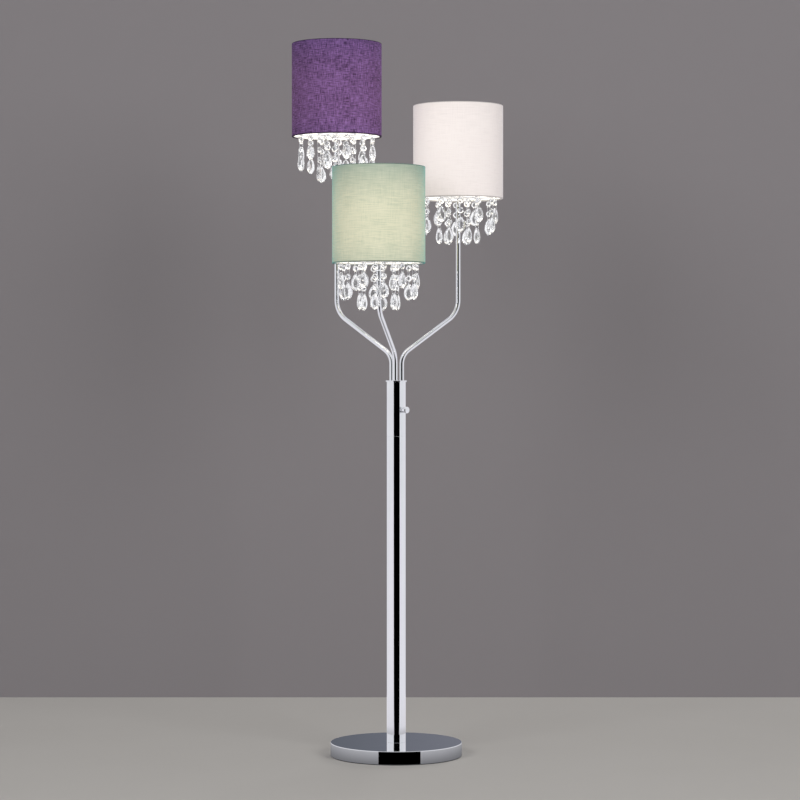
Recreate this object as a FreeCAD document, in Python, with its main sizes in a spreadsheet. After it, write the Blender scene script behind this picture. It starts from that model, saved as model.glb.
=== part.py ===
import FreeCAD, Part
import math
import os
import re
import Sketcher

Vector = FreeCAD.Vector

# A tree floor lamp: a weighted round base, a chromed column, three bent arms and a drum shade on
# each arm, with strands of crystals hanging under every shade.
# The origin is on the floor, on the axis of the column. +Z is up and -Y is the front.
# A turn is an angle about Z, in degrees, from the front (-Y) towards +X.

DRIVING_SIZES = {
    # base
    "base_diameter": 290,
    "base_height": 30,
    "cover_wall": 1.5,
    "cover_edge_round": 1.2,
    "cover_lift": 1.5,
    "pad_thickness": 3,
    "pad_clearance": 0.3,
    "weight_clearance": 0.5,
    "weight_opening": 40,
    "cable_channel_width": 14,
    "cable_channel_height": 13,
    "cable_height": 9,
    "cable_diameter": 5.2,
    "cable_bend": 8,
    "bushing_diameter": 8,
    "bushing_flange": 11,
    "bushing_flange_thickness": 1.5,
    # tie rod and its nuts
    "rod_diameter": 10,
    "rod_bore": 6,
    "rod_clearance": 0.1,
    "rod_tail": 2,
    "nut_across_flats": 17,
    "nut_height": 7,
    "nut_flange": 22,
    "nut_flange_thickness": 2,
    # column
    "column_diameter": 42,
    "column_wall": 1.2,
    "column_length": 675,
    "head_length": 120,
    "spigot_clearance": 0.1,
    "foot_height": 10,
    "coupler_length": 60,
    "coupler_wall": 2,
    "coupler_web": 6,
    # cap and arms
    "cap_diameter": 47,
    "cap_thickness": 3,
    "cap_edge_round": 0.8,
    "plug_depth": 15,
    "hole_circle": 25.8,
    "hole_angle": -9,
    "arm_diameter": 10,
    "arm_wall": 1,
    "arm_fit": 0.05,
    "arm_rise": 36,
    "lower_bend": 38,
    "upper_bend": 52,
    "arm_slope_angle": 55,
    "arm_reach": 136.5,
    "arm_nut_diameter": 13,
    "arm_nut_height": 4,
    "arm_thread_tail": 2,
    "lead_diameter": 6.4,
    "lead_end_gap": 3,
    "front_arm_angle": -15,
    "right_arm_angle": 113,
    "left_arm_angle": -116,
    # switch
    "switch_above_seam": 58,
    "switch_angle": 40,
    "switch_body_diameter": 16,
    "switch_body_back": 3,
    "switch_face": 18,
    "switch_neck_diameter": 9,
    "switch_neck_reach": 4,
    "ring_nut_diameter": 12.4,
    "ring_nut_thickness": 3.4,
    "ring_nut_fit": 0.05,
    "spindle_diameter": 6,
    "spindle_fit": 0.05,
    "spindle_depth": 13,
    "knob_gap": 0.4,
    "knob_stem_diameter": 12.4,
    "knob_stem_length": 9,
    "knob_head_diameter": 15,
    "knob_rim_thickness": 2,
    "knob_crown_diameter": 10,
    "knob_crown_height": 1.3,
    "knob_dome": 1.8,
    # shades
    "shade_diameter": 200,
    "shade_height": 206,
    "front_shade_bottom": 1080,
    "right_shade_bottom": 1232,
    "left_shade_bottom": 1371,
    "fabric_thickness": 0.8,
    "liner_thickness": 0.6,
    "frame_wire": 3,
    "spoke_wire": 2.5,
    "frame_plate_diameter": 48,
    "frame_plate_thickness": 1.5,
    "frame_spoke_start": 22,
    # lampholder, cup, clamp ring and bulb
    "arm_end": 38,
    "cup_height": 28,
    "cup_diameter": 34,
    "cup_wall": 1.2,
    "cup_floor": 1.5,
    "cup_seat": 28,
    "cup_clearance": 0.3,
    "holder_lip": 1,
    "holder_flange": 36,
    "holder_flange_thickness": 2,
    "holder_skirt": 28,
    "holder_skirt_height": 31,
    "holder_bore": 16,
    "holder_bore_depth": 25,
    "clamp_clearance": 0.1,
    "clamp_diameter": 38,
    "clamp_height": 6,
    "bulb_base_diameter": 15.4,
    "bulb_base_height": 28,
    "bulb_neck_height": 7,
    "bulb_neck_top": 22,
    "bulb_diameter": 45,
    "bulb_centre": 54,
    # crystals
    "carrier_height": 6,
    "carrier_wire": 3,
    "carrier_hub": 16,
    "carrier_hub_height": 10,
    "carrier_spoke_angle": 15,
    "outer_circle": 164,
    "inner_circle": 84,
    "front_outer_angle": 8,
    "right_outer_angle": 2,
    "left_outer_angle": -13,
    "front_inner_angle": -10,
    "right_inner_angle": 31,
    "left_inner_angle": -5,
    "link_wire": 0.9,
    "link_width": 7.2,
    "link_corner": 1.2,
    "hook_clearance": 0.35,
    "stone_hole": 1.7,
    "bead_width": 14,
    "bead_thickness": 8,
    "bead_hole_inset": 1.8,
    "first_bead": 9,
    "bead_pitch": 22,
    "drop_below_bead": 11,
    "drop_height": 37,
    "drop_width": 23,
    "drop_thickness": 12.5,
    "drop_hole_inset": 2.8,
    "stone_girdle": 2.4,
    "stone_table": 0.55,
}

HEADS = ("front", "right", "left")
ARM_HOLE_STEPS = {"front": 0, "right": 1, "left": 2}
ARM_COUNT = 3
SPOKE_COUNT = 3
OUTER_PAIRS = 6
INNER_PAIRS = 3
OUTER_LEVELS = (2, 1)
INNER_LEVELS = (3, 3)
BEAD_SIDES = 8
# A pear's corners from its tip to its foot: shares of its height and of its half width.
DROP_CORNERS = ((0, 0.16), (0.17, 0.56), (0.4, 0.9), (0.64, 1), (0.84, 0.76), (1, 0.28))
DROP_MIDDLE = 0.6
CLOSE = 1e-4

doc = FreeCAD.newDocument("tree_floor_lamp")
sizes = doc.addObject("Spreadsheet::Sheet", "sizes")
for row, (name, number) in enumerate(DRIVING_SIZES.items(), start=1):
    sizes.set(f"A{row}", name)
    sizes.set(f"B{row}", str(number))
    sizes.setAlias(f"B{row}", name)
doc.recompute()


def size(formula):
    """The value of a formula that is written with the names of the sheet's cells."""
    return float(sizes.evalExpression(formula))


def cells(formula):
    """The formula with every cell name pointing at the sheet, as other objects need it."""
    return re.sub(r"\b([a-z]+(?:_[a-z]+)+)\b", r"sizes.\1", formula)


def bind(thing, **formulas):
    """Tie the named properties of an object to formulas."""
    for name, formula in formulas.items():
        thing.setExpression(name, cells(formula))


def place(thing, x="0", y="0", z="0", turn=None):
    """Put an object at a place, turned so that its own +X points along a turn."""
    thing.setExpression(".Placement.Base.x", cells(x))
    thing.setExpression(".Placement.Base.y", cells(y))
    thing.setExpression(".Placement.Base.z", cells(z))
    if turn is not None:
        thing.Placement.Rotation = FreeCAD.Rotation(Vector(0, 0, 1), size(f"({turn}) - 90"))
        thing.setExpression(".Placement.Rotation.Angle", cells(f"({turn}) - 90"))


# ---------------------------------------------------------------- shared shapes


def origin_plane(body, role):
    return [part for part in body.Origin.OriginFeatures if part.Role == role][0]


def new_body(label):
    body = doc.addObject("PartDesign::Body", label)
    body.Label = label
    return body


def new_sketch(body, role, name):
    sketch = body.newObject("Sketcher::SketchObject", name)
    sketch.AttachmentSupport = (origin_plane(body, role), [""])
    sketch.MapMode = "FlatFace"
    return sketch


def hold_point(sketch, line, end, x, y):
    """Hold the end of a line at a place given by two formulas."""
    for kind, formula in (("DistanceX", x), ("DistanceY", y)):
        if abs(size(formula)) < 1e-9:
            axis = -2 if kind == "DistanceX" else -1
            sketch.addConstraint(Sketcher.Constraint("PointOnObject", line, end, axis))
            continue
        held = sketch.addConstraint(Sketcher.Constraint(kind, -1, 1, line, end, size(formula)))
        sketch.setExpression(f"Constraints[{held}]", cells(formula))


def outline(sketch, corners):
    """A closed outline of straight lines through corners given as pairs of formulas."""
    places = [Vector(size(x), size(y), 0) for x, y in corners]
    following = places[1:] + places[:1]
    lines = [sketch.addGeometry(Part.LineSegment(a, b), False) for a, b in zip(places, following)]
    for line, after in zip(lines, lines[1:] + lines[:1]):
        sketch.addConstraint(Sketcher.Constraint("Coincident", line, 2, after, 1))
    for line, (x, y) in zip(lines, corners):
        hold_point(sketch, line, 1, x, y)


def turned(label, corners, along="Z"):
    """A body turned about its own Z axis, or X axis. A corner is (radius, place on the axis)."""
    body = new_body(label)
    sketch = new_sketch(body, "XZ_Plane", label + "_profile")
    if along == "X":
        corners = [(reach, radius) for radius, reach in corners]
    outline(sketch, corners)
    revolution = body.newObject("PartDesign::Revolution", label + "_turned")
    revolution.Profile = sketch
    revolution.ReferenceAxis = (sketch, ["V_Axis" if along == "Z" else "H_Axis"])
    revolution.Angle = 360
    doc.recompute()
    return body


def tube_body(label, outer, inner, bottom, top):
    """A straight tube about Z between two heights."""
    return turned(label, [(inner, bottom), (outer, bottom), (outer, top), (inner, top)])


def round_circle_edges(body, radius, height, amount):
    """Round the circular edges of a body that have this radius at this height."""
    solid = body.Tip
    names = []
    for index, edge in enumerate(solid.Shape.Edges, start=1):
        curve = edge.Curve
        if isinstance(curve, Part.Circle) and abs(curve.Radius - size(radius)) < CLOSE:
            if abs(curve.Center.z - size(height)) < CLOSE:
                names.append(f"Edge{index}")
    fillet = body.newObject("PartDesign::Fillet", body.Label + "_edge")
    fillet.Base = (solid, names)
    bind(fillet, Radius=amount)
    doc.recompute()


def circle_pocket(body, role, x, y, diameter, name):
    """A round hole through the body, starting at an origin plane, on one side of it."""
    sketch = new_sketch(body, role, name + "_profile")
    circle = sketch.addGeometry(Part.Circle(Vector(size(x), size(y), 0), Vector(0, 0, 1),
                                            size(diameter) / 2), False)
    held = sketch.addConstraint(Sketcher.Constraint("Diameter", circle, size(diameter)))
    sketch.setExpression(f"Constraints[{held}]", cells(diameter))
    hold_point(sketch, circle, 3, x, y)
    pocket = body.newObject("PartDesign::Pocket", name)
    pocket.Profile = sketch
    pocket.Type = "ThroughAll"
    return pocket


def cylinder(name, radius, height, x="0", y="0", z="0", turn=None):
    thing = doc.addObject("Part::Cylinder", name)
    bind(thing, Radius=radius, Height=height)
    place(thing, x, y, z, turn)
    return thing


def torus(name, ring_radius, wire_radius, x, y, z):
    thing = doc.addObject("Part::Torus", name)
    bind(thing, Radius1=ring_radius, Radius2=wire_radius)
    place(thing, x, y, z)
    return thing


def cut(name, base, tool):
    thing = doc.addObject("Part::Cut", name)
    thing.Base = base
    thing.Tool = tool
    return thing


def fuse(name, things):
    thing = doc.addObject("Part::MultiFuse", name)
    thing.Shapes = things
    return thing


def group(label, things):
    """Several equal pieces that stay separate solids under one name."""
    thing = doc.addObject("Part::Compound", label)
    thing.Label = label
    thing.Links = things
    return thing


def ring(name, outer, inner, height, x, y, z):
    """A flat ring, as one cylinder cut by another."""
    body = cylinder(name + "_blank", outer, height, x, y, z)
    bore = cylinder(name + "_bore", inner, height, x, y, z)
    return cut(name, body, bore)


sub_parts = []


def keep(thing):
    sub_parts.append(thing)
    return thing


# ---------------------------------------------------------------- levels and places

BASE_OUT = "base_diameter / 2"
COVER_IN = "(base_diameter / 2 - cover_wall)"
COVER_UNDER = "(base_height - cover_wall)"
COLUMN_OUT = "column_diameter / 2"
COLUMN_IN = "(column_diameter / 2 - column_wall)"
SPIGOT = "(column_diameter / 2 - column_wall - spigot_clearance)"
ROD_HOLE = "(rod_diameter / 2 + rod_clearance)"
SEAM = "(base_height + column_length)"
COLUMN_TOP = "(base_height + column_length + head_length)"
PLUG_END = f"({COLUMN_TOP} - plug_depth)"
ARM_START = f"({PLUG_END} - arm_nut_height - arm_thread_tail)"
BEND_START = f"({COLUMN_TOP} + cap_thickness + arm_rise)"
ARM_HOLE = "(arm_diameter / 2 + arm_fit)"
SWITCH_HEIGHT = f"({SEAM} + switch_above_seam)"
WEB_TOP = f"({SEAM} - coupler_length / 2 + coupler_web)"
NUT_TOTAL = "(nut_height + nut_flange_thickness)"
ROD_BOTTOM = f"({COVER_UNDER} - {NUT_TOTAL} - rod_tail)"
ROD_TOP = f"({WEB_TOP} + {NUT_TOTAL} + rod_tail)"


def arm_hole_turn(head):
    return f"(hole_angle + {ARM_HOLE_STEPS[head]} * 360 / {ARM_COUNT})"


def arm_foot(head):
    """X and Y of the hole in the cap that an arm stands in."""
    turn = arm_hole_turn(head)
    return f"(hole_circle / 2 * sin({turn}))", f"(-hole_circle / 2 * cos({turn}))"


def head_centre(head):
    """X and Y of the vertical upper end of an arm."""
    x, y = arm_foot(head)
    return (f"({x} + arm_reach * sin({head}_arm_angle))",
            f"({y} - arm_reach * cos({head}_arm_angle))")


def above_rim(head, height):
    """A height measured from the lower edge of a shade."""
    return f"({head}_shade_bottom + {height})"


# ---------------------------------------------------------------- base

cover = keep(turned("base_cover", [
    (ROD_HOLE, COVER_UNDER), (COVER_IN, COVER_UNDER), (COVER_IN, "cover_lift"),
    (BASE_OUT, "cover_lift"), (BASE_OUT, "base_height"), (ROD_HOLE, "base_height")]))
round_circle_edges(cover, BASE_OUT, "base_height", "cover_edge_round")
circle_pocket(cover, "XZ_Plane", "0", "cable_height", "bushing_diameter + 2 * rod_clearance",
              "cover_cable_hole")

weight = keep(tube_body("base_weight", f"{COVER_IN} - weight_clearance", "weight_opening / 2",
                        "pad_thickness", COVER_UNDER))
channel_sketch = new_sketch(weight, "XY_Plane", "weight_channel_profile")
outline(channel_sketch, [("-cable_channel_width / 2", "0"), ("cable_channel_width / 2", "0"),
                         ("cable_channel_width / 2", "base_diameter"),
                         ("-cable_channel_width / 2", "base_diameter")])
channel = weight.newObject("PartDesign::Pocket", "weight_channel")
channel.Profile = channel_sketch
channel.Reversed = True
bind(channel, Length="pad_thickness + cable_channel_height")

pad = keep(cylinder("base_pad", f"{COVER_IN} - pad_clearance", "pad_thickness"))

BUSHING_IN = f"({COVER_IN} - bushing_flange_thickness - pad_clearance)"
bushing = keep(turned("cord_bushing", [
    ("cable_diameter / 2 + pad_clearance", BUSHING_IN),
    ("bushing_flange / 2", BUSHING_IN),
    ("bushing_flange / 2", f"{COVER_IN} - pad_clearance"),
    ("bushing_diameter / 2", f"{COVER_IN} - pad_clearance"),
    ("bushing_diameter / 2", BASE_OUT),
    ("bushing_flange / 2", BASE_OUT),
    ("bushing_flange / 2", f"{BASE_OUT} + bushing_flange_thickness"),
    ("cable_diameter / 2 + pad_clearance", f"{BASE_OUT} + bushing_flange_thickness")], along="X"))
place(bushing, z="cable_height", turn="180")

# ---------------------------------------------------------------- tie rod

keep(tube_body("tie_rod", "rod_diameter / 2", "rod_bore / 2", ROD_BOTTOM, ROD_TOP))


def flange_nut(name, flange_bottom, hexagon_bottom):
    """A hexagon nut with a round flange, bored to clear the rod."""
    prism = doc.addObject("Part::Prism", name + "_hexagon")
    prism.Polygon = 6
    bind(prism, Circumradius="nut_across_flats / 2 / cos(30)", Height="nut_height")
    place(prism, z=hexagon_bottom)
    flange = cylinder(name + "_flange", "nut_flange / 2", "nut_flange_thickness", z=flange_bottom)
    lowest = hexagon_bottom if size(hexagon_bottom) < size(flange_bottom) else flange_bottom
    bore = cylinder(name + "_bore", ROD_HOLE, NUT_TOTAL, z=lowest)
    return cut(name, fuse(name + "_solid", [prism, flange]), bore)


lower_nut = flange_nut("lower_nut", f"{COVER_UNDER} - nut_flange_thickness",
                       f"{COVER_UNDER} - {NUT_TOTAL}")
upper_nut = flange_nut("upper_nut", WEB_TOP, f"{WEB_TOP} + nut_flange_thickness")
keep(group("tie_rod_nuts", [lower_nut, upper_nut]))

# ---------------------------------------------------------------- column

keep(tube_body("column_foot", SPIGOT, ROD_HOLE, "base_height", "base_height + foot_height"))
keep(tube_body("column_lower", COLUMN_OUT, COLUMN_IN, "base_height", SEAM))

COUPLER_BOTTOM = f"({SEAM} - coupler_length / 2)"
COUPLER_BORE = f"({SPIGOT} - coupler_wall)"
keep(turned("column_coupler", [
    (ROD_HOLE, COUPLER_BOTTOM), (SPIGOT, COUPLER_BOTTOM),
    (SPIGOT, f"{SEAM} + coupler_length / 2"), (COUPLER_BORE, f"{SEAM} + coupler_length / 2"),
    (COUPLER_BORE, WEB_TOP), (ROD_HOLE, WEB_TOP)]))

head_tube = keep(tube_body("column_head", COLUMN_OUT, COLUMN_IN, f"{SEAM} - {SWITCH_HEIGHT}",
                           f"{COLUMN_TOP} - {SWITCH_HEIGHT}"))
place(head_tube, z=SWITCH_HEIGHT, turn="switch_angle - 90")
circle_pocket(head_tube, "XZ_Plane", "0", "0", "switch_neck_diameter + 2 * rod_clearance",
              "head_switch_hole")

# ---------------------------------------------------------------- cap

cap = keep(turned("top_cap", [
    ("0", PLUG_END), (SPIGOT, PLUG_END), (SPIGOT, COLUMN_TOP),
    ("cap_diameter / 2", COLUMN_TOP), ("cap_diameter / 2", f"{COLUMN_TOP} + cap_thickness"),
    ("0", f"{COLUMN_TOP} + cap_thickness")]))
round_circle_edges(cap, "cap_diameter / 2", f"{COLUMN_TOP} + cap_thickness", "cap_edge_round")
arm_socket = circle_pocket(cap, "XY_Plane", "hole_circle / 2", "0", f"2 * {ARM_HOLE}",
                           "cap_arm_hole")
arm_socket.Reversed = True
doc.recompute()
sockets = cap.newObject("PartDesign::PolarPattern", "cap_arm_holes")
sockets.Originals = [arm_socket]
sockets.Axis = (origin_plane(cap, "Z_Axis"), [""])
sockets.Angle = 360
sockets.Occurrences = ARM_COUNT
cap.Tip = sockets
place(cap, turn="hole_angle")

# ---------------------------------------------------------------- arms


def arm_route(head):
    """Corner points of an arm's centre line in its own plane: (reach, height) of each joint."""
    slope = math.radians(size("arm_slope_angle"))
    low, high = size("lower_bend"), size("upper_bend")
    reach, start = size("arm_reach"), size(BEND_START)
    drift = 1 - math.cos(slope)
    straight = (reach - (low + high) * drift) / math.sin(slope)
    first = Vector(low * drift, start + low * math.sin(slope), 0)
    second = first + Vector(straight * math.sin(slope), straight * math.cos(slope), 0)
    last = Vector(reach, second.y + high * math.sin(slope), 0)
    return Vector(0, start, 0), first, second, last


def bent_path(sketch, bottom, top, head):
    """A vertical line, a bend, a slanting line, a bend back and a vertical line, all tangent."""
    start, first, second, last = arm_route(head)
    slope = math.radians(size("arm_slope_angle"))
    low, high = size("lower_bend"), size("upper_bend")
    low_centre = start + Vector(low, 0, 0)
    high_centre = last - Vector(high, 0, 0)
    low_middle = low_centre + Vector(-low * math.cos(slope / 2), low * math.sin(slope / 2), 0)
    high_middle = high_centre + Vector(high * math.cos(slope / 2), -high * math.sin(slope / 2), 0)
    upright = sketch.addGeometry(Part.LineSegment(Vector(0, size(bottom), 0), start), False)
    low_arc = sketch.addGeometry(Part.Arc(start, low_middle, first), False)
    slant = sketch.addGeometry(Part.LineSegment(first, second), False)
    high_arc = sketch.addGeometry(Part.Arc(second, high_middle, last), False)
    rise = sketch.addGeometry(Part.LineSegment(last, Vector(last.x, size(top), 0)), False)
    # an arc drawn counter-clockwise starts at its lower angle
    sketch.addConstraint(Sketcher.Constraint("Tangent", upright, 2, low_arc, 2))
    sketch.addConstraint(Sketcher.Constraint("Tangent", low_arc, 1, slant, 1))
    sketch.addConstraint(Sketcher.Constraint("Tangent", slant, 2, high_arc, 1))
    sketch.addConstraint(Sketcher.Constraint("Tangent", high_arc, 2, rise, 1))
    sketch.addConstraint(Sketcher.Constraint("Vertical", upright))
    sketch.addConstraint(Sketcher.Constraint("Vertical", rise))
    hold_point(sketch, upright, 1, "0", bottom)
    hold_point(sketch, rise, 2, "arm_reach", top)
    for kind, geometry, formula in (("Radius", low_arc, "lower_bend"),
                                    ("Radius", high_arc, "upper_bend")):
        held = sketch.addConstraint(Sketcher.Constraint(kind, geometry, size(formula)))
        sketch.setExpression(f"Constraints[{held}]", cells(formula))
    held = sketch.addConstraint(Sketcher.Constraint("DistanceY", -1, 1, upright, 2,
                                                    size(BEND_START)))
    sketch.setExpression(f"Constraints[{held}]", cells(BEND_START))
    held = sketch.addConstraint(Sketcher.Constraint("Angle", slant, 1, -1, 1, -(math.pi / 2 - slope)))
    sketch.setExpression(f"Constraints[{held}]", cells("arm_slope_angle - 90"))


def bent_tube(label, head, bottom, top, diameter, bore=None):
    """A round tube, or a solid lead, along the route of an arm."""
    body = new_body(label)
    path = new_sketch(body, "XZ_Plane", label + "_path")
    bent_path(path, bottom, top, head)
    section = new_sketch(body, "XY_Plane", label + "_section")
    section.setExpression(".AttachmentOffset.Base.z", cells(bottom))
    for width in (diameter, bore):
        if width is None:
            continue
        circle = section.addGeometry(Part.Circle(Vector(0, 0, 0), Vector(0, 0, 1),
                                                 size(width) / 2), False)
        section.addConstraint(Sketcher.Constraint("Coincident", circle, 3, -1, 1))
        held = section.addConstraint(Sketcher.Constraint("Diameter", circle, size(width)))
        section.setExpression(f"Constraints[{held}]", cells(width))
    pipe = body.newObject("PartDesign::AdditivePipe", label + "_pipe")
    pipe.Profile = section
    pipe.Spine = (path, [])
    doc.recompute()
    x, y = arm_foot(head)
    place(body, x, y, turn=f"{head}_arm_angle")
    return body


HOLDER_FLOOR = "(cup_seat + cup_floor)"
LEAD_END = "(arm_end + lead_end_gap)"
leads = []
for head in HEADS:
    arm_top = above_rim(head, "arm_end")
    keep(bent_tube(f"{head}_arm", head, ARM_START, arm_top, "arm_diameter",
                   "arm_diameter - 2 * arm_wall"))
    leads.append(bent_tube(f"{head}_lead", head, f"{ARM_START} - lead_end_gap",
                           above_rim(head, LEAD_END), "lead_diameter"))

lock_nuts = []
for head in HEADS:
    nut_x, nut_y = arm_foot(head)
    lock_nuts.append(ring(f"{head}_lock_nut", "arm_nut_diameter / 2", ARM_HOLE, "arm_nut_height",
                          nut_x, nut_y, f"{PLUG_END} - arm_nut_height"))
keep(group("arm_lock_nuts", lock_nuts))

# ---------------------------------------------------------------- switch, on an axis along +X

NECK_END = f"({COLUMN_OUT} + switch_neck_reach)"
SPINDLE_BORE = "(spindle_diameter / 2 + spindle_fit)"
switch_body = keep(turned("switch_body", [
    ("0", "-switch_body_back"), ("switch_body_diameter / 2", "-switch_body_back"),
    ("switch_body_diameter / 2", "switch_face"), ("switch_neck_diameter / 2", "switch_face"),
    ("switch_neck_diameter / 2", NECK_END), (SPINDLE_BORE, NECK_END),
    (SPINDLE_BORE, f"{NECK_END} - spindle_depth"), ("0", f"{NECK_END} - spindle_depth")],
    along="X"))

RING_NUT_END = f"({COLUMN_OUT} + ring_nut_thickness)"
ring_nut = keep(turned("switch_ring_nut", [
    ("switch_neck_diameter / 2 + ring_nut_fit", COLUMN_OUT),
    ("ring_nut_diameter / 2", COLUMN_OUT), ("ring_nut_diameter / 2", RING_NUT_END),
    ("switch_neck_diameter / 2 + ring_nut_fit", RING_NUT_END)], along="X"))

KNOB_START = f"({NECK_END} + knob_gap)"
KNOB_HEAD = f"({KNOB_START} + knob_stem_length)"
KNOB_RIM = f"({KNOB_HEAD} + knob_rim_thickness)"
knob = keep(turned("switch_knob", [
    ("0", f"{NECK_END} - spindle_depth + knob_gap"),
    ("spindle_diameter / 2", f"{NECK_END} - spindle_depth + knob_gap"),
    ("spindle_diameter / 2", KNOB_START), ("knob_stem_diameter / 2", KNOB_START),
    ("knob_stem_diameter / 2", KNOB_HEAD), ("knob_head_diameter / 2", KNOB_HEAD),
    ("knob_head_diameter / 2", KNOB_RIM),
    ("knob_crown_diameter / 2", f"{KNOB_RIM} + knob_crown_height"),
    ("0", f"{KNOB_RIM} + knob_dome")], along="X"))
for thing in (switch_body, ring_nut, knob):
    place(thing, z=SWITCH_HEIGHT, turn="switch_angle")

# ---------------------------------------------------------------- wiring

supply = new_body("supply_cable")
supply_path = new_sketch(supply, "YZ_Plane", "supply_cable_path")
CABLE_END = BUSHING_IN
BEND_TOP = "(cable_height + cable_bend)"
CABLE_TOP = f"({SWITCH_HEIGHT} - switch_body_diameter / 2)"
corner = Vector(size("cable_bend"), size(BEND_TOP), 0)
low_point = corner + Vector(-1, -1, 0) * (size("cable_bend") / math.sqrt(2))
run = supply_path.addGeometry(Part.LineSegment(Vector(size(CABLE_END), size("cable_height"), 0),
                                               Vector(corner.x, size("cable_height"), 0)), False)
bend = supply_path.addGeometry(Part.Arc(Vector(0, corner.y, 0), low_point,
                                        Vector(corner.x, size("cable_height"), 0)), False)
climb = supply_path.addGeometry(Part.LineSegment(Vector(0, corner.y, 0),
                                                 Vector(0, size(CABLE_TOP), 0)), False)
supply_path.addConstraint(Sketcher.Constraint("Tangent", run, 2, bend, 2))
supply_path.addConstraint(Sketcher.Constraint("Tangent", bend, 1, climb, 1))
supply_path.addConstraint(Sketcher.Constraint("Horizontal", run))
supply_path.addConstraint(Sketcher.Constraint("Vertical", climb))
hold_point(supply_path, run, 1, CABLE_END, "cable_height")
hold_point(supply_path, climb, 2, "0", CABLE_TOP)
bend_size = supply_path.addConstraint(Sketcher.Constraint("Radius", bend, size("cable_bend")))
supply_path.setExpression(f"Constraints[{bend_size}]", cells("cable_bend"))
supply_section = new_sketch(supply, "XY_Plane", "supply_cable_section")
supply_section.setExpression(".AttachmentOffset.Base.z", cells(CABLE_TOP))
supply_circle = supply_section.addGeometry(Part.Circle(Vector(0, 0, 0), Vector(0, 0, 1),
                                                       size("cable_diameter") / 2), False)
supply_section.addConstraint(Sketcher.Constraint("Coincident", supply_circle, 3, -1, 1))
supply_width = supply_section.addConstraint(Sketcher.Constraint("Diameter", supply_circle,
                                                                size("cable_diameter")))
supply_section.setExpression(f"Constraints[{supply_width}]", cells("cable_diameter"))
supply_pipe = supply.newObject("PartDesign::AdditivePipe", "supply_cable_pipe")
supply_pipe.Profile = supply_section
supply_pipe.Spine = (supply_path, [])
doc.recompute()
keep(group("inner_wiring", [supply] + leads))

# ---------------------------------------------------------------- shades

SHADE_OUT = "shade_diameter / 2"
FABRIC_IN = "(shade_diameter / 2 - fabric_thickness)"
LINER_IN = "(shade_diameter / 2 - fabric_thickness - liner_thickness)"
FRAME_RING = f"({LINER_IN} - frame_wire / 2)"
PLATE_UNDER = f"({HOLDER_FLOOR} + cup_height - cup_floor + holder_lip + holder_flange_thickness)"
SKIRT = "holder_skirt / 2"
HOLDER_TOP = f"({PLATE_UNDER} + holder_skirt_height)"
BULB_SEAT = f"({HOLDER_TOP} - holder_bore_depth)"


def shade_frame(head, x, y):
    """Two wire rings, and three spokes that climb from the lower ring to the plate."""
    ring_height = above_rim(head, "frame_wire / 2")
    plate_height = above_rim(head, PLATE_UNDER)
    spoke_rise = f"({PLATE_UNDER} + frame_plate_thickness / 2 - frame_wire / 2)"
    spoke_run = f"({FRAME_RING} - frame_spoke_start)"
    parts = [torus(f"{head}_frame_ring", FRAME_RING, "frame_wire / 2", x, y, ring_height),
             ring(f"{head}_frame_plate", "frame_plate_diameter / 2", f"{SKIRT} + clamp_clearance",
                  "frame_plate_thickness", x, y, plate_height)]
    for step in range(SPOKE_COUNT):
        turn = f"({head}_arm_angle + {step} * 360 / {SPOKE_COUNT})"
        spoke = doc.addObject("Part::Cylinder", f"{head}_frame_spoke_{step + 1}")
        bind(spoke, Radius="spoke_wire / 2", Height=f"sqrt({spoke_rise}^2 + {spoke_run}^2)")
        place(spoke, f"{x} + {FRAME_RING} * sin({turn})", f"{y} - {FRAME_RING} * cos({turn})",
              ring_height)
        lean = math.degrees(math.atan2(size(spoke_run), size(spoke_rise)))
        swing = FreeCAD.Rotation(Vector(0, 0, 1), size(turn) - 90)
        spoke.Placement.Rotation = swing.multiply(FreeCAD.Rotation(Vector(0, 1, 0), -lean))
        parts.append(spoke)
    upper = torus(f"{head}_upper_ring", FRAME_RING, "frame_wire / 2", x, y,
                  above_rim(head, "shade_height - frame_wire / 2"))
    return group(f"{head}_shade_frame", [fuse(f"{head}_lower_frame", parts), upper])


def placed_body(body, x, y, z):
    place(body, x, y, z)
    return body


for head in HEADS:
    head_x, head_y = head_centre(head)
    rim = above_rim(head, "0")
    keep(placed_body(tube_body(f"{head}_shade_fabric", SHADE_OUT, FABRIC_IN, "0", "shade_height"),
                     head_x, head_y, rim))
    keep(placed_body(tube_body(f"{head}_shade_liner", FABRIC_IN, LINER_IN, "0", "shade_height"),
                     head_x, head_y, rim))
    keep(shade_frame(head, head_x, head_y))

# ---------------------------------------------------------------- cups, lampholders, rings, bulbs


def socket_cup(head, x, y):
    return placed_body(turned(f"{head}_cup", [
        (ARM_HOLE, "cup_seat"), ("cup_diameter / 2", "cup_seat"),
        ("cup_diameter / 2", "cup_seat + cup_height"),
        ("cup_diameter / 2 - cup_wall", "cup_seat + cup_height"),
        ("cup_diameter / 2 - cup_wall", HOLDER_FLOOR), (ARM_HOLE, HOLDER_FLOOR)]),
        x, y, above_rim(head, "0"))


def lampholder(head, x, y):
    body_out = "(cup_diameter / 2 - cup_wall - cup_clearance)"
    flange_under = f"({PLATE_UNDER} - holder_flange_thickness)"
    return placed_body(turned(f"{head}_lampholder", [
        (ARM_HOLE, HOLDER_FLOOR), (body_out, HOLDER_FLOOR), (body_out, flange_under),
        ("holder_flange / 2", flange_under), ("holder_flange / 2", PLATE_UNDER),
        (SKIRT, PLATE_UNDER), (SKIRT, HOLDER_TOP), ("holder_bore / 2", HOLDER_TOP),
        ("holder_bore / 2", BULB_SEAT), ("0", BULB_SEAT), ("0", LEAD_END),
        (ARM_HOLE, LEAD_END)]), x, y, above_rim(head, "0"))


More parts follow.
